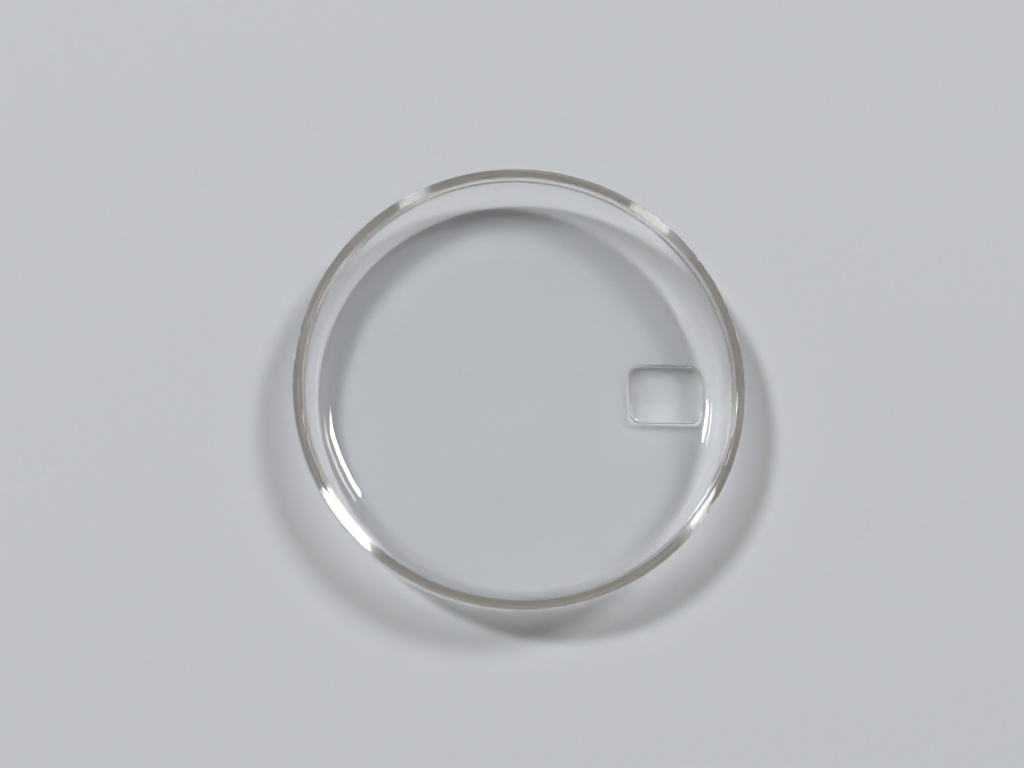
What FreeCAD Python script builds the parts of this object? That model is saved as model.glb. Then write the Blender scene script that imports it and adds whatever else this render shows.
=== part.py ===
"""Watch crystal with a date magnifier, modelled lying on its face as it is photographed.

The crystal is a shallow clear bowl: a flat face, a round shoulder, a short wall that presses
into the case, and a rounded edge at the open side. It lies face down, so its open side looks
up (+Z). A small plano-convex lens is cemented to the outside of the face near the rim, and
its crown is the lowest point of the part, at Z = 0. The Z axis is the crystal's own axis.
"""
import FreeCAD, Part
import math
import os

import Sketcher

# Driving sizes in millimetres
SIZES = {
    # Crystal
    "outer_diameter": 30.0,
    "face_thickness": 1.2,
    "shoulder_radius": 2.4,
    "wall_height": 0.65,
    "edge_round": 0.8,
    "inner_break": 0.05,
    "inner_wall_height": 0.3,
    # Date magnifier
    "lens_length": 5.2,
    "lens_width": 4.1,
    "lens_thickness": 0.75,
    "lens_corner_radius": 0.8,
    "lens_crown_radius": 24.0,
    "lens_edge_break": 0.12,
    "lens_rim_gap": 2.1,
    # Cement between the two
    "cement_thickness": 0.05,
    "cement_margin": 0.1,
    # Overlap of cutting and filling tools with the material that they work on
    "tool_overlap": 0.5,
}

doc = FreeCAD.newDocument("watch_crystal")
sheet = doc.addObject("Spreadsheet::Sheet", "sizes")
for row, (alias, value) in enumerate(SIZES.items(), start=1):
    sheet.set(f"A{row}", alias)
    sheet.set(f"B{row}", str(value))
    sheet.setAlias(f"B{row}", alias)
doc.recompute()

# Points that a sketch constraint names: start, end or centre of a piece, and the origin
START, END, CENTRE = range(1, 4)
ORIGIN = (-1, START)
VERTICAL_AXIS = -2


def new_body(name):
    """An empty body whose label becomes its file's name."""
    body = doc.addObject("PartDesign::Body", name)
    body.Label = name
    return body


def new_sketch(body, plane, name):
    """A sketch on one of the body's own origin planes."""
    sketch = body.newObject("Sketcher::SketchObject", name)
    support = next(item for item in body.Origin.OriginFeatures if item.Role == plane)
    sketch.AttachmentSupport = (support, [""])
    sketch.MapMode = "FlatFace"
    return sketch


def point(x, y):
    return FreeCAD.Vector(x, y, 0)


def add_line(sketch, start, end):
    return sketch.addGeometry(Part.LineSegment(point(*start), point(*end)), False)


def add_arc(sketch, centre, radius, first_degrees, last_degrees):
    """An arc drawn counter-clockwise from its first angle to its last."""
    circle = Part.Circle(point(*centre), FreeCAD.Vector(0, 0, 1), radius)
    arc = Part.ArcOfCircle(circle, math.radians(first_degrees), math.radians(last_degrees))
    return sketch.addGeometry(arc, False)


def constrain(sketch, *rules):
    for rule in rules:
        sketch.addConstraint(Sketcher.Constraint(*rule))


def dimension(sketch, name, rule, value, expression):
    """A named dimension that follows the sheet."""
    index = sketch.addConstraint(Sketcher.Constraint(*rule, value))
    sketch.renameConstraint(index, name)
    sketch.setExpression(f"Constraints.{name}", expression)


def rounded_rectangle(sketch, length, width, radius, length_rule, width_rule, radius_rule):
    """A rectangle with round corners, centred on the sketch's origin."""
    x = length / 2
    y = width / 2
    bottom = add_line(sketch, (radius - x, -y), (x - radius, -y))
    right = add_line(sketch, (x, radius - y), (x, y - radius))
    top = add_line(sketch, (x - radius, y), (radius - x, y))
    left = add_line(sketch, (-x, y - radius), (-x, radius - y))
    low_right = add_arc(sketch, (x - radius, radius - y), radius, 270, 360)
    high_right = add_arc(sketch, (x - radius, y - radius), radius, 0, 90)
    high_left = add_arc(sketch, (radius - x, y - radius), radius, 90, 180)
    low_left = add_arc(sketch, (radius - x, radius - y), radius, 180, 270)
    sides = [bottom, low_right, right, high_right, top, high_left, left, low_left]
    for first, second in zip(sides, sides[1:] + sides[:1]):
        constrain(sketch, ("Tangent", first, END, second, START))
    for side in (bottom, top):
        constrain(sketch, ("Horizontal", side))
    for side in (left, right):
        constrain(sketch, ("Vertical", side))
    for corner in (high_right, high_left):
        constrain(sketch, ("Equal", low_right, corner))
    constrain(sketch, ("Symmetric", low_left, CENTRE, high_right, CENTRE, *ORIGIN))
    dimension(sketch, "length", ("DistanceX", left, START, right, START), length, length_rule)
    dimension(sketch, "width", ("DistanceY", bottom, START, top, START), width, width_rule)
    dimension(sketch, "corner", ("Radius", low_right), radius, radius_rule)


def make_crystal_shell():
    """The clear bowl: half of its section, turned about the crystal's axis."""
    radius = SIZES["outer_diameter"] / 2
    face = SIZES["face_thickness"]
    shoulder = SIZES["shoulder_radius"]
    wall = SIZES["wall_height"]
    edge = SIZES["edge_round"]
    break_size = SIZES["inner_break"]
    inner_wall = SIZES["inner_wall_height"]
    height = shoulder + wall + edge
    bore = radius - edge - break_size
    bowl = height - break_size - inner_wall - face

    body = new_body("crystal_shell")
    section = new_sketch(body, "XZ_Plane", "shell_section")
    outer_face = add_line(section, (0, 0), (radius - shoulder, 0))
    outer_shoulder = add_arc(section, (radius - shoulder, shoulder), shoulder, 270, 360)
    outer_wall = add_line(section, (radius, shoulder), (radius, shoulder + wall))
    round_edge = add_arc(section, (radius - edge, height - edge), edge, 0, 90)
    inner_edge = add_line(section, (bore + break_size, height), (bore, height - break_size))
    inner_wall_line = add_line(section, (bore, height - break_size), (bore, face + bowl))
    inner_corner = add_arc(section, (bore - bowl, face + bowl), bowl, 270, 360)
    inner_face = add_line(section, (bore - bowl, face), (0, face))
    axis_line = add_line(section, (0, face), (0, 0))
    constrain(
        section,
        ("Coincident", outer_face, START, *ORIGIN),
        ("Horizontal", outer_face),
        ("Tangent", outer_face, END, outer_shoulder, START),
        ("Tangent", outer_shoulder, END, outer_wall, START),
        ("Vertical", outer_wall),
        ("Tangent", outer_wall, END, round_edge, START),
        ("Vertical", round_edge, CENTRE, round_edge, END),
        ("Coincident", round_edge, END, inner_edge, START),
        ("Coincident", inner_edge, END, inner_wall_line, START),
        ("Vertical", inner_wall_line),
        ("Tangent", inner_wall_line, END, inner_corner, END),
        ("Tangent", inner_corner, START, inner_face, START),
        ("Horizontal", inner_face),
        ("Coincident", inner_face, END, axis_line, START),
        ("Coincident", axis_line, END, outer_face, START),
        ("Vertical", axis_line),
    )
    dimension(section, "outer_radius", ("DistanceX", *ORIGIN, outer_wall, START),
              radius, "sizes.outer_diameter / 2")
    dimension(section, "shoulder", ("Radius", outer_shoulder), shoulder, "sizes.shoulder_radius")
    dimension(section, "wall", ("DistanceY", outer_wall, START, outer_wall, END),
              wall, "sizes.wall_height")
    dimension(section, "edge", ("Radius", round_edge), edge, "sizes.edge_round")
    dimension(section, "break_width", ("DistanceX", inner_edge, END, inner_edge, START),
              break_size, "sizes.inner_break")
    dimension(section, "break_height", ("DistanceY", inner_edge, END, inner_edge, START),
              break_size, "sizes.inner_break")
    dimension(section, "inner_wall", ("DistanceY", inner_wall_line, END, inner_wall_line, START),
              inner_wall, "sizes.inner_wall_height")
    dimension(section, "face", ("DistanceY", axis_line, END, axis_line, START),
              face, "sizes.face_thickness")

    turned = body.newObject("PartDesign::Revolution", "shell_turned")
    turned.Profile = (section, [""])
    turned.ReferenceAxis = (section, ["V_Axis"])
    turned.Angle = 360
    body.setExpression("Placement.Base.z", "sizes.lens_thickness + sizes.cement_thickness")
    return body


LENS_CENTRE = "sizes.outer_diameter / 2 - sizes.lens_rim_gap - sizes.lens_length / 2"


def make_date_magnifier():
    """The plano-convex lens, crown down, with its flat side towards the crystal."""
    crown = SIZES["lens_crown_radius"]
    reach = (SIZES["lens_length"] + SIZES["lens_width"]) / 2
    rise = crown - math.sqrt(crown ** 2 - reach ** 2)
    below = SIZES["tool_overlap"]

    body = new_body("date_magnifier")
    outline = new_sketch(body, "XY_Plane", "lens_outline")
    rounded_rectangle(outline, SIZES["lens_length"], SIZES["lens_width"],
                      SIZES["lens_corner_radius"], "sizes.lens_length", "sizes.lens_width",
                      "sizes.lens_corner_radius")
    blank = body.newObject("PartDesign::Pad", "lens_blank")
    blank.Profile = (outline, [""])
    blank.setExpression("Length", "sizes.lens_thickness")

    # Everything under the sphere of the crown is turned away
    cutter = new_sketch(body, "XZ_Plane", "crown_section")
    end_angle = 270 + math.degrees(math.asin(reach / crown))
    sphere = add_arc(cutter, (0, crown), crown, 270, end_angle)
    outside = add_line(cutter, (reach, rise), (reach, -below))
    floor = add_line(cutter, (reach, -below), (0, -below))
    middle = add_line(cutter, (0, -below), (0, 0))
    constrain(
        cutter,
        ("Coincident", sphere, START, *ORIGIN),
        ("PointOnObject", sphere, CENTRE, VERTICAL_AXIS),
        ("Coincident", sphere, END, outside, START),
        ("Vertical", outside),
        ("Coincident", outside, END, floor, START),
        ("Horizontal", floor),
        ("Coincident", floor, END, middle, START),
        ("Coincident", middle, END, sphere, START),
        ("Vertical", middle),
    )
    dimension(cutter, "crown", ("Radius", sphere), crown, "sizes.lens_crown_radius")
    dimension(cutter, "reach", ("DistanceX", *ORIGIN, outside, START), reach,
              "(sizes.lens_length + sizes.lens_width) / 2")
    dimension(cutter, "below", ("DistanceY", middle, START, middle, END), below,
              "sizes.tool_overlap")
    ground = body.newObject("PartDesign::Groove", "lens_ground")
    ground.Profile = (cutter, [""])
    ground.ReferenceAxis = (cutter, ["V_Axis"])
    ground.Angle = 360
    doc.recompute()

    # The crown's sharp border is broken
    crown_face = next(face for face in ground.Shape.Faces if isinstance(face.Surface, Part.Sphere))
    border = [
        f"Edge{number}"
        for number, edge in enumerate(ground.Shape.Edges, start=1)
        if any(edge.isSame(side) for side in crown_face.Edges)
    ]
    broken = body.newObject("PartDesign::Chamfer", "lens_broken_edge")
    broken.Base = (ground, border)
    broken.setExpression("Size", "sizes.lens_edge_break")
    body.Tip = broken
    body.setExpression("Placement.Base.x", LENS_CENTRE)
    return body


def make_lens_cement(crystal_shell):
    """The clear cement: a block over the lens, less the crystal that it wets."""
    length = SIZES["lens_length"] - 2 * SIZES["cement_margin"]
    width = SIZES["lens_width"] - 2 * SIZES["cement_margin"]
    corner = SIZES["lens_corner_radius"] - SIZES["cement_margin"]

    block = new_body("cement_block")
    outline = new_sketch(block, "XY_Plane", "cement_outline")
    rounded_rectangle(outline, length, width, corner,
                      "sizes.lens_length - 2 * sizes.cement_margin",
                      "sizes.lens_width - 2 * sizes.cement_margin",
                      "sizes.lens_corner_radius - sizes.cement_margin")
    filled = block.newObject("PartDesign::Pad", "cement_fill")
    filled.Profile = (outline, [""])
    filled.setExpression("Length", "sizes.cement_thickness + sizes.tool_overlap")
    block.setExpression("Placement.Base.x", LENS_CENTRE)
    block.setExpression("Placement.Base.z", "sizes.lens_thickness")

    cement = doc.addObject("Part::Cut", "lens_cement")
    cement.Label = "lens_cement"
    cement.Base = block
    cement.Tool = crystal_shell
    return cement


shell = make_crystal_shell()
magnifier = make_date_magnifier()
cement_film = make_lens_cement(shell)
doc.recompute()

for item in doc.Objects:
    failed = [state for state in item.State if state in ("Invalid", "Error")]
    if failed:
        raise RuntimeError(f"{item.Name} did not build: {failed}")

os.makedirs("parts", exist_ok=True)
for sub_part in (shell, magnifier, cement_film):
    if sub_part.Shape.isNull() or not sub_part.Shape.isValid():
        raise RuntimeError(f"{sub_part.Label} has no valid shape")
    if len(sub_part.Shape.Solids) != 1:
        raise RuntimeError(f"{sub_part.Label} is not one solid")
    sub_part.Shape.exportStep(f"parts/{sub_part.Label}.step")
    print(sub_part.Label, "volume", round(sub_part.Shape.Volume, 3), "mm3")
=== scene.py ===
"""Looks of the watch crystal: a clear turned bowl lying on its face, with a date magnifier.

The three pieces are made by rule in geometry nodes, because clear material shows every facet of a
coarse mesh. They have the solids' own sizes and places. Only the crystal's edge differs: it is a
little slimmer than the solid's, and flat on top.
"""

import math

import bpy
from mathutils import Matrix, Vector


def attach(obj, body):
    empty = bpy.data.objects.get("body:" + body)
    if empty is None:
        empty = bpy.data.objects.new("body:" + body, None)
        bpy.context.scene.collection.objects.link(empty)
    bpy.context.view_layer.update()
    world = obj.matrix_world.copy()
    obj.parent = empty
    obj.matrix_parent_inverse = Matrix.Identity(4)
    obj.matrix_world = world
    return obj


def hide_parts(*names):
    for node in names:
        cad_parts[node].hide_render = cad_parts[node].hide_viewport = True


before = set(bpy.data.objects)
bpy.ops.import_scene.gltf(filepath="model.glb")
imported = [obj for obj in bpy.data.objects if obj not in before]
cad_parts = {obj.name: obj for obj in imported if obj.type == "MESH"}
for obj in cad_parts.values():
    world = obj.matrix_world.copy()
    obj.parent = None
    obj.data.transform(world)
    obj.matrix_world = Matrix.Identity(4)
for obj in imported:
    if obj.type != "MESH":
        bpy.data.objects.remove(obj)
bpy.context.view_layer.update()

MM = 0.001

# Sizes of the solids, in millimetres
RADIUS = 15.0
FACE_THICKNESS = 1.2
SHOULDER_RADIUS = 2.4
WALL_HEIGHT = 0.65
EDGE_HEIGHT = 0.8
BORE_RADIUS = 14.15
INNER_WALL_TOP = 0.35
LENS_LENGTH = 5.2
LENS_WIDTH = 4.1
LENS_THICKNESS = 0.75
LENS_CORNER_RADIUS = 0.8
LENS_CROWN_RADIUS = 24.0
LENS_EDGE_BREAK = 0.12
LENS_RIM_GAP = 2.1
CEMENT_THICKNESS = 0.05
CEMENT_MARGIN = 0.1

FACE_LEVEL = LENS_THICKNESS + CEMENT_THICKNESS
CRYSTAL_HEIGHT = SHOULDER_RADIUS + WALL_HEIGHT + EDGE_HEIGHT
BOWL_RADIUS = CRYSTAL_HEIGHT - INNER_WALL_TOP - FACE_THICKNESS
LENS_CENTRE = RADIUS - LENS_RIM_GAP - LENS_LENGTH / 2
FLAT_RADIUS = RADIUS - SHOULDER_RADIUS

# The edge as the light shows it: a narrow flat top, with walls that lean in to meet it
EDGE_LEAN = 0.12
BORE_LEAN = 0.15
TOP_CORNER = 0.1
TOP_INNER_CORNER = 0.14
WALL_BEND = 0.5

# A bend needs straight runs a little longer than itself, and these are longer by this much
FLAT_GUARD = 0.05

# The joint is optically closed, so the cement reaches this far into its neighbours
JOINT_OVERLAP = 0.003


# Node trees

# Points closer than this, in metres, become one
SAME_POINT = 1e-7

# A fold steeper than this shows as an edge
SHARP_FOLD = math.radians(35)


class Formula:
    """A number in a node tree, which can be used in sums as a plain number is."""

    def __init__(self, tree, socket):
        self.tree = tree
        self.socket = socket

    def work_out(self, operation, *others):
        node = add_node(self.tree, "ShaderNodeMath", operation=operation)
        for value, socket in zip((self, *others), node.inputs):
            connect(self.tree, value, socket)
        return Formula(self.tree, node.outputs[0])

    def __add__(self, other):
        return self.work_out("ADD", other)

    def __sub__(self, other):
        return self.work_out("SUBTRACT", other)

    def __rsub__(self, other):
        return self.work_out("MULTIPLY", -1.0).work_out("ADD", other)

    def __mul__(self, other):
        return self.work_out("MULTIPLY", other)

    def __truediv__(self, other):
        return self.work_out("DIVIDE", other)

    def held(self, low=0.0, high=1.0):
        """The same number, held between two limits."""
        return self.work_out("MAXIMUM", low).work_out("MINIMUM", high)


def connect(tree, value, socket):
    """Sets a socket to a plain value, or links it to a formula or another socket."""
    if isinstance(value, Formula):
        tree.links.new(value.socket, socket)
    elif isinstance(value, bpy.types.NodeSocket):
        tree.links.new(value, socket)
    else:
        socket.default_value = value


def add_node(tree, kind, inputs=None, **settings):
    """A node with its settings, and its inputs by name or number."""
    node = tree.nodes.new(kind)
    for name, value in settings.items():
        setattr(node, name, value)
    for name, value in (inputs or {}).items():
        connect(tree, value, node.inputs[name])
    return node


def length_of(x, y):
    return (x * x + y * y).work_out("SQRT")


def place(tree, x, y, z):
    return add_node(tree, "ShaderNodeCombineXYZ", {"X": x, "Y": y, "Z": z}).outputs[0]


def parts_of(tree, vector):
    node = add_node(tree, "ShaderNodeSeparateXYZ", {"Vector": vector})
    return [Formula(tree, socket) for socket in node.outputs]


def new_geometry_tree(name, sizes):
    """An empty tree with a named input for each size, and those inputs as formulas."""
    tree = bpy.data.node_groups.new(name, "GeometryNodeTree")
    tree.interface.new_socket("Geometry", in_out="OUTPUT", socket_type="NodeSocketGeometry")
    for size, value in sizes.items():
        kind = "NodeSocketInt" if isinstance(value, int) else "NodeSocketFloat"
        tree.interface.new_socket(size, in_out="INPUT", socket_type=kind)
    given = tree.nodes.new("NodeGroupInput")
    return tree, {size: Formula(tree, given.outputs[size]) for size in sizes}


def index_of(tree):
    return Formula(tree, add_node(tree, "GeometryNodeInputIndex").outputs[0])


def in_order(tree, data_type, values):
    """A field that gives each point the value with its own number."""
    node = add_node(tree, "GeometryNodeIndexSwitch", data_type=data_type)
    while len(node.index_switch_items) < len(values):
        node.index_switch_items.new()
    connect(tree, index_of(tree), node.inputs["Index"])
    for value, socket in zip(values, node.inputs[1:]):
        connect(tree, value, socket)
    return node.outputs[0]


def grid_of_rows(tree, rows, columns):
    """A grid, with the row and the column that each of its points is in."""
    grid = add_node(tree, "GeometryNodeMeshGrid", {"Vertices X": rows, "Vertices Y": columns})
    index = index_of(tree)
    row = (index / columns).work_out("FLOOR")
    return grid.outputs["Mesh"], row, index - row * columns


def sampled_place(tree, line, number):
    """Where the line's point with that number is."""
    position = add_node(tree, "GeometryNodeInputPosition").outputs[0]
    node = add_node(tree, "GeometryNodeSampleIndex", {"Geometry": line}, data_type="FLOAT_VECTOR")
    connect(tree, position, node.inputs["Value"])
    connect(tree, number, node.inputs["Index"])
    return parts_of(tree, node.outputs[0])


def finish_tree(tree, grid, position, material):
    """Moves the grid's points into place, closes it, and gives it its smooth surface."""
    moved = add_node(tree, "GeometryNodeSetPosition", {"Geometry": grid, "Position": position})
    closed = add_node(tree, "GeometryNodeMergeByDistance",
                      {"Geometry": moved.outputs[0], "Distance": SAME_POINT})
    smooth = add_node(tree, "GeometryNodeSetShadeSmooth",
                      {"Geometry": closed.outputs[0], "Shade Smooth": True}, domain="FACE")
    fold = add_node(tree, "GeometryNodeInputMeshEdgeAngle").outputs["Unsigned Angle"]
    is_sharp = Formula(tree, fold).work_out("GREATER_THAN", SHARP_FOLD)
    creased = add_node(tree, "GeometryNodeSetShadeSmooth",
                       {"Geometry": smooth.outputs[0], "Selection": is_sharp,
                        "Shade Smooth": False}, domain="EDGE")
    real = add_node(tree, "GeometryNodeRealizeInstances", {"Geometry": creased.outputs[0]})
    painted = add_node(tree, "GeometryNodeSetMaterial",
                       {"Geometry": real.outputs[0], "Material": material})
    output = tree.nodes.new("NodeGroupOutput")
    connect(tree, painted.outputs[0], output.inputs[0])


def make_piece(name, tree, sizes):
    """Runs a tree once and keeps the mesh that it makes as a plain piece."""
    piece = bpy.data.objects.new(name, bpy.data.meshes.new(name))
    bpy.context.scene.collection.objects.link(piece)
    modifier = piece.modifiers.new(name, "NODES")
    modifier.node_group = tree
    for item in tree.interface.items_tree:
        if item.in_out == "INPUT":
            modifier[item.identifier] = sizes[item.name]
    view = bpy.context.evaluated_depsgraph_get()
    made = bpy.data.meshes.new_from_object(piece.evaluated_get(view), depsgraph=view)
    piece.modifiers.remove(modifier)
    made.name = name
    piece.data = made
    return piece


# The turned bowl

CRYSTAL_SIZES = {
    "Radius": RADIUS * MM,
    "Height": CRYSTAL_HEIGHT * MM,
    "Face level": FACE_LEVEL * MM,
    "Face thickness": FACE_THICKNESS * MM,
    "Shoulder radius": SHOULDER_RADIUS * MM,
    "Edge height": EDGE_HEIGHT * MM,
    "Edge lean": EDGE_LEAN * MM,
    "Bore lean": BORE_LEAN * MM,
    "Wall bend": WALL_BEND * MM,
    "Top corner": TOP_CORNER * MM,
    "Top inner corner": TOP_INNER_CORNER * MM,
    "Bore radius": BORE_RADIUS * MM,
    "Bowl radius": BOWL_RADIUS * MM,
    "Flat guard": FLAT_GUARD * MM,
    "Wide bend steps": 56,
    "Small bend steps": 10,
    "Turn steps": 240,
}


def turned_crystal_tree(material):
    """Rounds the corners of half a section and turns it about the crystal's axis."""
    tree, size = new_geometry_tree("turned_crystal", CRYSTAL_SIZES)
    radius = size["Radius"]
    bore = size["Bore radius"]
    bottom = size["Face level"]
    top = bottom + size["Height"]
    bowl_floor = bottom + size["Face thickness"]
    guard = size["Flat guard"]
    wide_bend = size["Wide bend steps"]
    small_bend = size["Small bend steps"]

    # From the middle of the inner face, over the rim, to the middle of the outer face
    corners = [
        (0.0, bowl_floor, 0.0, 1),
        (bore - size["Bowl radius"] - guard, bowl_floor, 0.0, 1),
        (bore, bowl_floor, size["Bowl radius"], wide_bend),
        (bore + size["Bore lean"], top, size["Top inner corner"], small_bend),
        (radius - size["Edge lean"], top, size["Top corner"], small_bend),
        (radius, top - size["Edge height"], size["Wall bend"], small_bend),
        (radius, bottom, size["Shoulder radius"], wide_bend),
        (radius - size["Shoulder radius"] - guard, bottom, 0.0, 1),
        (0.0, bottom, 0.0, 1),
    ]
    corner_places = in_order(tree, "VECTOR", [place(tree, r, 0.0, z) for r, z, _, _ in corners])
    bend_radii = in_order(tree, "FLOAT", [bend for _, _, bend, _ in corners])
    bend_steps = in_order(tree, "INT", [steps for _, _, _, steps in corners])

    line = add_node(tree, "GeometryNodeCurvePrimitiveLine")
    points = add_node(tree, "GeometryNodeResampleCurve",
                      {"Curve": line.outputs[0], "Count": len(corners)})
    section = add_node(tree, "GeometryNodeSetPosition",
                       {"Geometry": points.outputs[0], "Position": corner_places})
    rounded = add_node(tree, "GeometryNodeFilletCurve",
                       {"Curve": section.outputs[0], "Radius": bend_radii}, mode="POLY")
    connect(tree, bend_steps, rounded.inputs["Count"])

    counted = add_node(tree, "GeometryNodeAttributeDomainSize",
                       {"Geometry": rounded.outputs[0]}, component="CURVE")
    steps = size["Turn steps"]
    grid, row, column = grid_of_rows(tree, counted.outputs["Point Count"], steps + 1.0)
    r, _, z = sampled_place(tree, rounded.outputs[0], row)
    angle = column * math.tau / steps
    position = place(tree, r * angle.work_out("COSINE"), r * angle.work_out("SINE"), z)
    finish_tree(tree, grid, position, material)
    return tree


# The magnifier and its cement

OUTLINE_CORNER_STEPS = 32

# The broken border of the crown turns nearly, but not quite, to level
BORDER_TURN = math.radians(82)


def outline_rows(tree, length, width, corner, rows, columns):
    """A grid whose every row runs once round a rectangle with round corners."""
    outline = add_node(tree, "GeometryNodeCurvePrimitiveQuadrilateral",
                       {"Width": length, "Height": width})
    rounded = add_node(tree, "GeometryNodeFilletCurve",
                       {"Curve": outline.outputs[0], "Radius": corner,
                        "Count": OUTLINE_CORNER_STEPS}, mode="POLY")
    even = add_node(tree, "GeometryNodeResampleCurve",
                    {"Curve": rounded.outputs[0], "Count": columns})
    grid, row, column = grid_of_rows(tree, rows, columns + 1.0)
    x, y, _ = sampled_place(tree, even.outputs[0], column.work_out("MODULO", columns))
    return grid, row, x, y


LENS_SIZES = {
    "Length": LENS_LENGTH * MM,
    "Width": LENS_WIDTH * MM,
    "Thickness": LENS_THICKNESS * MM,
    "Corner radius": LENS_CORNER_RADIUS * MM,
    "Crown radius": LENS_CROWN_RADIUS * MM,
    "Edge break": LENS_EDGE_BREAK * MM,
    "Centre": LENS_CENTRE * MM,
    "Border steps": 12,
    "Crown steps": 20,
    "Outline steps": 160,
}


def date_magnifier_tree(material):
    """Rows from the middle of the flat side, down the wall, to the middle of the crown.

    Row 0 is the middle of the flat side, row 1 its outline, and row 2 the foot of the wall.
    """
    tree, size = new_geometry_tree("date_magnifier", LENS_SIZES)
    corner = size["Corner radius"]
    crown = size["Crown radius"]
    edge = size["Edge break"]
    border_steps = size["Border steps"]
    crown_steps = size["Crown steps"]
    grid, row, x, y = outline_rows(tree, size["Length"], size["Width"], corner,
                                   border_steps + crown_steps + 3.0, size["Outline steps"])

    # Along the border the wall turns inwards, square to the outline
    core_x = size["Length"] * 0.5 - corner
    core_y = size["Width"] * 0.5 - corner
    inward_x = (x - x.held(0.0 - core_x, core_x)) / corner
    inward_y = (y - y.held(0.0 - core_y, core_y)) / corner
    turn = ((row - 2.0) / border_steps).held() * BORDER_TURN
    inset = (1.0 - turn.work_out("COSINE")) * edge
    reach = row.held() * (1.0 - ((row - 2.0 - border_steps) / crown_steps).held())
    px = (x - inward_x * inset) * reach
    py = (y - inward_y * inset) * reach

    sphere = crown - (crown * crown - px * px - py * py).work_out("SQRT")
    crown_z = sphere + (1.0 - turn.work_out("SINE")) * edge
    z = size["Thickness"] + (crown_z - size["Thickness"]) * (row - 1.0).held()
    finish_tree(tree, grid, place(tree, px + size["Centre"], py, z), material)
    return tree


CEMENT_SIZES = {
    "Length": (LENS_LENGTH - 2 * CEMENT_MARGIN) * MM,
    "Width": (LENS_WIDTH - 2 * CEMENT_MARGIN) * MM,
    "Corner radius": (LENS_CORNER_RADIUS - CEMENT_MARGIN) * MM,
    "Bottom": (LENS_THICKNESS - JOINT_OVERLAP) * MM,
    "Top": (FACE_LEVEL + JOINT_OVERLAP) * MM,
    "Flat radius": FLAT_RADIUS * MM,
    "Shoulder radius": SHOULDER_RADIUS * MM,
    "Centre": LENS_CENTRE * MM,
    "Top steps": 16,
    "Outline steps": 120,
}


def lens_cement_tree(material):
    """A film with a flat bottom, whose top follows the face and the start of its shoulder.

    The rows run from the middle of the top to its outline, and the last two are the bottom.
    """
    tree, size = new_geometry_tree("lens_cement", CEMENT_SIZES)
    top_steps = size["Top steps"]
    shoulder = size["Shoulder radius"]
    grid, row, x, y = outline_rows(tree, size["Length"], size["Width"], size["Corner radius"],
                                   top_steps + 3.0, size["Outline steps"])
    reach = (row / top_steps).held() * (1.0 - (row - top_steps - 1.0).held())
    px = x * reach + size["Centre"]
    py = y * reach
    past_flat = (length_of(px, py) - size["Flat radius"]).work_out("MAXIMUM", 0.0)
    rise = shoulder - (shoulder * shoulder - past_flat * past_flat).work_out("SQRT")
    top = size["Top"] + rise
    z = top + (size["Bottom"] - top) * (row - top_steps).held()
    finish_tree(tree, grid, place(tree, px, py, z), material)
    return tree


# Materials, with depths and heights in metres

CLEAR = (1, 1, 1, 1)
CLEAR_CEMENT = (1, 1, 0.99, 1)
ACRYLIC_IOR = 1.49

RIPPLES_PER_METRE = 260.0
MOULDED_RIPPLE = 1e-7
TURNED_RIPPLE = 2e-7

RINGS_PER_METRE = 6000.0
RING_DEPTH = 2e-7

# Hairlines are noise drawn out along one side, of which only the peaks are kept
HAIRLINE_STRETCH = (9000.0, 90.0, 90.0)
HAIRLINE_TURNS = (25.0, 118.0)
HAIRLINE_PEAK = 0.66
HAIRLINE_SHARPNESS = 12.0
HAIRLINE_DEPTH = 2e-7
HAIRLINE_ROUGHNESS = 0.03

SPECKS_PER_METRE = 420.0
EMPTY_CELLS = 0.8
SMALLEST_SPECK = 0.02
SPECK_SPREAD = 0.05
SPECK_HEIGHT = 3e-6
SPECK_ROUGHNESS = 0.35

# How level the surface still is where the ground border starts, and how fast it grows dull and,
# with painted shade, darker
GROUND_AND_SHADE_START = 0.9
GROUND_AND_SHADE_GROWTH = 1.5
GROUND_ROUGHNESS = 0.3
# How much the upright border is greyed: painted shade, not a colour of the plastic
BORDER_PAINTED_SHADE = 0.35

# Shares of a lamp's light that pass straight through each surface, and where they change
FACE_SHARE = 0.32
MORE_OVER_MAGNIFIER = 0.2
BORDER_SHARE = 0.2
BORDER_FLATNESS = 0.2
CROWN_GROWTH = 1.4
RIM_SHADE_START = 12.9
RIM_SHADE_WIDTH = 1.3


def new_material(name):
    material = bpy.data.materials.new(name)
    material.use_nodes = True
    material.node_tree.nodes.clear()
    return material, material.node_tree


def object_place(tree):
    coordinates = add_node(tree, "ShaderNodeTexCoord").outputs["Object"]
    return coordinates, parts_of(tree, coordinates)


def flatness_of(tree):
    """How level the surface lies, from 0 where it is upright to 1 where it is flat."""
    facing = add_node(tree, "ShaderNodeNewGeometry").outputs["Normal"]
    return parts_of(tree, facing)[2].work_out("ABSOLUTE")


def grey(tree, share):
    return add_node(tree, "ShaderNodeCombineColor",
                    {"Red": share, "Green": share, "Blue": share}).outputs[0]


def ripples(tree, coordinates):
    """The slow unevenness of a polished surface."""
    noise = add_node(tree, "ShaderNodeTexNoise",
                     {"Vector": coordinates, "Scale": RIPPLES_PER_METRE, "Detail": 2.0})
    return Formula(tree, noise.outputs[0])


def hairlines(tree, coordinates, turn):
    """Straight hairlines of polishing, from 0 to 1, in one direction on the face."""
    turned = add_node(tree, "ShaderNodeMapping", {"Vector": coordinates})
    turned.inputs["Rotation"].default_value = (0, 0, math.radians(turn))
    turned.inputs["Scale"].default_value = HAIRLINE_STRETCH
    noise = add_node(tree, "ShaderNodeTexNoise",
                     {"Vector": turned.outputs[0], "Scale": 1.0, "Detail": 1.0})
    return ((Formula(tree, noise.outputs[0]) - HAIRLINE_PEAK) * HAIRLINE_SHARPNESS).held()


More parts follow.
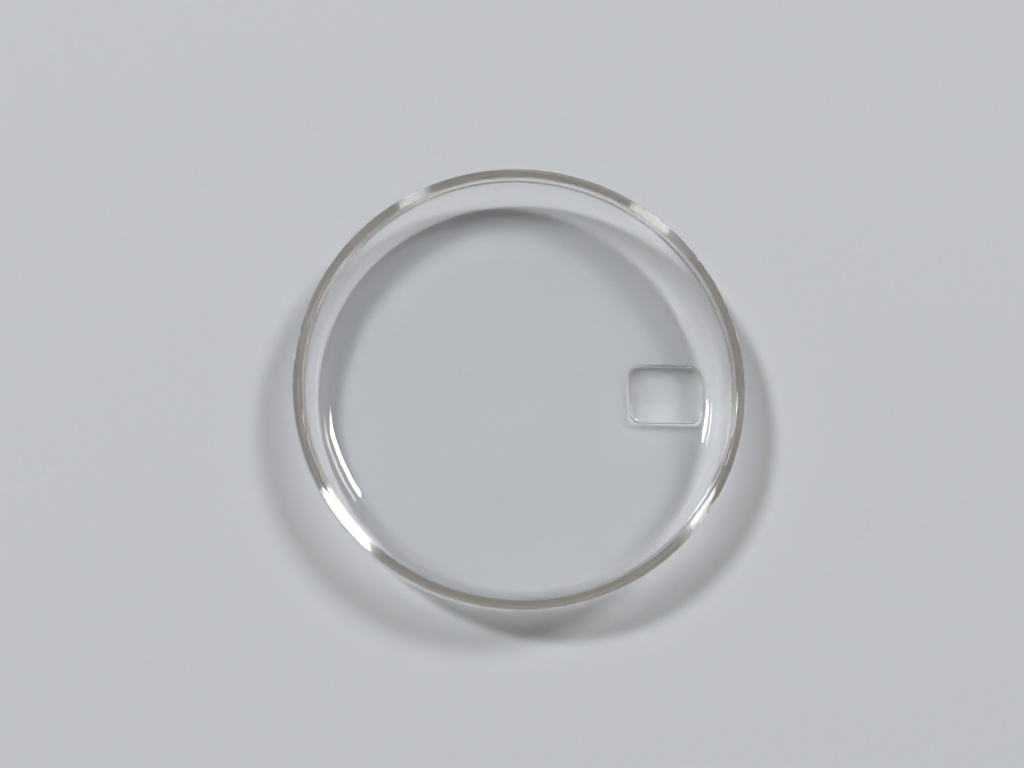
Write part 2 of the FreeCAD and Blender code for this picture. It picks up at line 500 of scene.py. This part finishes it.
def dust_specks(tree, coordinates):
    """Small round specks, from 0 to 1, where one cell in a few holds one."""
    cells = add_node(tree, "ShaderNodeTexVoronoi",
                     {"Vector": coordinates, "Scale": SPECKS_PER_METRE})
    chance, size, _ = parts_of(tree, cells.outputs["Color"])
    distance = Formula(tree, cells.outputs["Distance"])
    near = (1.0 - distance / (size * SPECK_SPREAD + SMALLEST_SPECK)).held()
    return near * chance.work_out("GREATER_THAN", EMPTY_CELLS)


def turning_marks(tree, x, y, z):
    """Rings left by turning, which run round the crystal's own axis."""
    rings = place(tree, length_of(x, y) * RINGS_PER_METRE, z * RINGS_PER_METRE, 0.0)
    noise = add_node(tree, "ShaderNodeTexNoise", {"Vector": rings, "Scale": 1.0, "Detail": 2.0})
    return Formula(tree, noise.outputs[0])


def bowl_shade(tree):
    """The flat face passes its share, more so over the magnifier, and the bent rim nearly none."""
    _, (x, y, _) = object_place(tree)
    along = (x - LENS_CENTRE * MM).work_out("ABSOLUTE").work_out("LESS_THAN", LENS_LENGTH / 2 * MM)
    across = y.work_out("ABSOLUTE").work_out("LESS_THAN", LENS_WIDTH / 2 * MM)
    over_magnifier = along * across
    past_face = length_of(x, y) - RIM_SHADE_START * MM
    round_the_rim = (past_face / (RIM_SHADE_WIDTH * MM)).held()
    return grey(tree, (over_magnifier * MORE_OVER_MAGNIFIER + FACE_SHARE) * (1.0 - round_the_rim))


def magnifier_shade(tree):
    """The crown and the flat side pass all the light, and the upright border little."""
    past_border = flatness_of(tree) - BORDER_FLATNESS
    return grey(tree, (past_border * CROWN_GROWTH + BORDER_SHARE).held())


def clear_material(name, colour, ripple_depth, shade, is_turned=False, has_ground_border_with_painted_shade=False):
    """Clear polished plastic, which lets a share of each lamp's light through to what is below.

    A ground border is one that was cut to size and never polished, so it is duller; its greyer
    colour is painted shade that darkens the upright border.
    """
    material, tree = new_material(name)
    coordinates, (x, y, z) = object_place(tree)
    first_turn, second_turn = HAIRLINE_TURNS
    scratches = hairlines(tree, coordinates, first_turn) + hairlines(tree, coordinates, second_turn)
    scratches = scratches.held()
    specks = dust_specks(tree, coordinates)

    relief = ripples(tree, coordinates) * ripple_depth
    if is_turned:
        relief = relief + turning_marks(tree, x, y, z) * RING_DEPTH
    relief = relief - scratches * HAIRLINE_DEPTH + specks * SPECK_HEIGHT
    bump = add_node(tree, "ShaderNodeBump", {"Strength": 1.0, "Distance": 1.0, "Height": relief})

    roughness = scratches * HAIRLINE_ROUGHNESS + specks * SPECK_ROUGHNESS
    if has_ground_border_with_painted_shade:
        ground_and_painted_shade = ((GROUND_AND_SHADE_START - flatness_of(tree)) * GROUND_AND_SHADE_GROWTH).held()
        roughness = roughness + ground_and_painted_shade * GROUND_ROUGHNESS
        # Painted shade: the border's colour is greyed where it stands upright
        colour = grey(tree, 1.0 - ground_and_painted_shade * BORDER_PAINTED_SHADE)
    surface = add_node(tree, "ShaderNodeBsdfPrincipled",
                       {"Base Color": colour, "Roughness": roughness,
                        "IOR": ACRYLIC_IOR, "Transmission Weight": 1.0,
                        "Normal": bump.outputs[0]})

    let_through = add_node(tree, "ShaderNodeBsdfTransparent", {"Color": shade(tree)})
    to_lamp = add_node(tree, "ShaderNodeLightPath").outputs["Is Shadow Ray"]
    mixed = add_node(tree, "ShaderNodeMixShader",
                     {0: to_lamp, 1: surface.outputs[0], 2: let_through.outputs[0]})
    output = add_node(tree, "ShaderNodeOutputMaterial")
    connect(tree, mixed.outputs[0], output.inputs["Surface"])
    return material


crystal_acrylic = clear_material("crystal_acrylic", CLEAR, TURNED_RIPPLE, bowl_shade,
                                 is_turned=True)
magnifier_acrylic = clear_material("magnifier_acrylic", CLEAR, MOULDED_RIPPLE, magnifier_shade,
                                   has_ground_border_with_painted_shade=True)
clear_cement = clear_material("clear_cement", CLEAR_CEMENT, MOULDED_RIPPLE, magnifier_shade)

crystal = make_piece("clear_crystal", turned_crystal_tree(crystal_acrylic), CRYSTAL_SIZES)
magnifier = make_piece("clear_magnifier", date_magnifier_tree(magnifier_acrylic), LENS_SIZES)
cement = make_piece("clear_cement_film", lens_cement_tree(clear_cement), CEMENT_SIZES)

for piece, node in ((crystal, "crystal_shell"), (magnifier, "date_magnifier"),
                    (cement, "lens_cement")):
    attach(piece, "root")
    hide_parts(node)


# The floor, which touches the magnifier's crown and the far side of the face

LEAN = math.atan2(FACE_LEVEL, LENS_CENTRE + FLAT_RADIUS)
LEANED = Matrix.Rotation(LEAN, 4, "Y")
FLOOR_SPOT = Vector((LENS_CENTRE, 0.0, 0.0)) * MM
FLOOR_SIZE = 2.0
FLOOR_COLOUR = (0.48, 0.50, 0.53, 1)


def make_floor():
    material, tree = new_material("pale_floor")
    surface = add_node(tree, "ShaderNodeBsdfDiffuse", {"Color": FLOOR_COLOUR})
    output = add_node(tree, "ShaderNodeOutputMaterial")
    connect(tree, surface.outputs[0], output.inputs["Surface"])
    half = FLOOR_SIZE / 2
    corners = [Vector((x * half, y * half, 0)) for x, y in ((-1, -1), (1, -1), (1, 1), (-1, 1))]
    mesh = bpy.data.meshes.new("floor")
    mesh.from_pydata([FLOOR_SPOT + LEANED @ corner for corner in corners], [], [(0, 1, 2, 3)])
    mesh.materials.append(material)
    floor = bpy.data.objects.new("floor", mesh)
    bpy.context.scene.collection.objects.link(floor)


# The lamps, the world and the camera

# In metres, as the lamps' own sizes are
LAMP_DISTANCE = 1.2

ZENITH_COLOUR = (0.10, 0.095, 0.085, 1)
HORIZON_COLOUR = (0.80, 0.73, 0.64, 1)
HORIZON_FADE = 2.0

# In degrees, and then in millimetres from the middle of the rim
VIEW_AZIMUTH = 248.0
VIEW_ELEVATION = 75.0
VIEW_DISTANCE = 76.947
VIEW_LEFT = 0.588
VIEW_DOWN = 0.14
NEAREST_SEEN = 1.0
SENSOR_WIDTH = 36.0
IMAGE_WIDTH = 1024.0
FOCAL_LENGTH_IN_PIXELS = 1160.0

# Light that runs round inside the rim is followed this far
RIM_BOUNCES = 96


def direction(azimuth, elevation):
    """A direction from the crystal, by degrees round the floor and above it."""
    turn = math.radians(azimuth)
    rise = math.radians(elevation)
    flat = math.cos(rise)
    return LEANED @ Vector((flat * math.cos(turn), flat * math.sin(turn), math.sin(rise)))


def add_lamp(name, azimuth, elevation, size, radiance):
    """A square soft lamp that faces the crystal."""
    data = bpy.data.lights.new(name, "AREA")
    data.shape = "SQUARE"
    data.size = size
    data.energy = radiance * math.pi * size * size
    lamp = bpy.data.objects.new(name, data)
    bpy.context.scene.collection.objects.link(lamp)
    towards = direction(azimuth, elevation)
    lamp.location = towards * LAMP_DISTANCE
    lamp.rotation_euler = towards.to_track_quat("Z", "Y").to_euler()


def add_surroundings():
    """A plain world, lighter towards the horizon."""
    world = bpy.data.worlds.new("studio")
    bpy.context.scene.world = world
    world.use_nodes = True
    tree = world.node_tree
    background = tree.nodes["Background"]
    _, _, height = parts_of(tree, add_node(tree, "ShaderNodeTexCoord").outputs["Generated"])
    low = (1.0 - height.held()).work_out("POWER", HORIZON_FADE)
    shown = add_node(tree, "ShaderNodeMix", {"Factor": low}, data_type="RGBA")
    connect(tree, ZENITH_COLOUR, shown.inputs[6])
    connect(tree, HORIZON_COLOUR, shown.inputs[7])
    connect(tree, shown.outputs[2], background.inputs["Color"])


def add_camera():
    """The photograph's view, from above and a little from the near left."""
    back = direction(VIEW_AZIMUTH, VIEW_ELEVATION)
    up_hint = LEANED @ Vector((0, 1, 0))
    right = up_hint.cross(back).normalized()
    up = back.cross(right)
    rim_centre = Vector((0.0, 0.0, FACE_LEVEL + SHOULDER_RADIUS + WALL_HEIGHT))
    spot = (rim_centre + back * VIEW_DISTANCE - right * VIEW_LEFT - up * VIEW_DOWN) * MM
    data = bpy.data.cameras.new("photo_view")
    data.sensor_width = SENSOR_WIDTH
    data.lens = FOCAL_LENGTH_IN_PIXELS * SENSOR_WIDTH / IMAGE_WIDTH
    data.clip_start = NEAREST_SEEN * MM
    camera = bpy.data.objects.new("photo_view", data)
    bpy.context.scene.collection.objects.link(camera)
    turned = Matrix((right, up, back)).transposed().to_4x4()
    camera.matrix_world = Matrix.Translation(spot) @ turned
    bpy.context.scene.camera = camera


make_floor()
add_lamp("window_lamp", azimuth=40.5, elevation=48.0, size=0.27, radiance=33.0)
add_lamp("side_lamp", azimuth=149.0, elevation=50.0, size=0.15, radiance=132.0)
add_surroundings()
add_camera()
bpy.context.scene.view_settings.view_transform = "Standard"

bpy.context.scene.cycles.max_bounces = RIM_BOUNCES
bpy.context.scene.cycles.transmission_bounces = RIM_BOUNCES
bpy.context.scene.cycles.glossy_bounces = RIM_BOUNCES
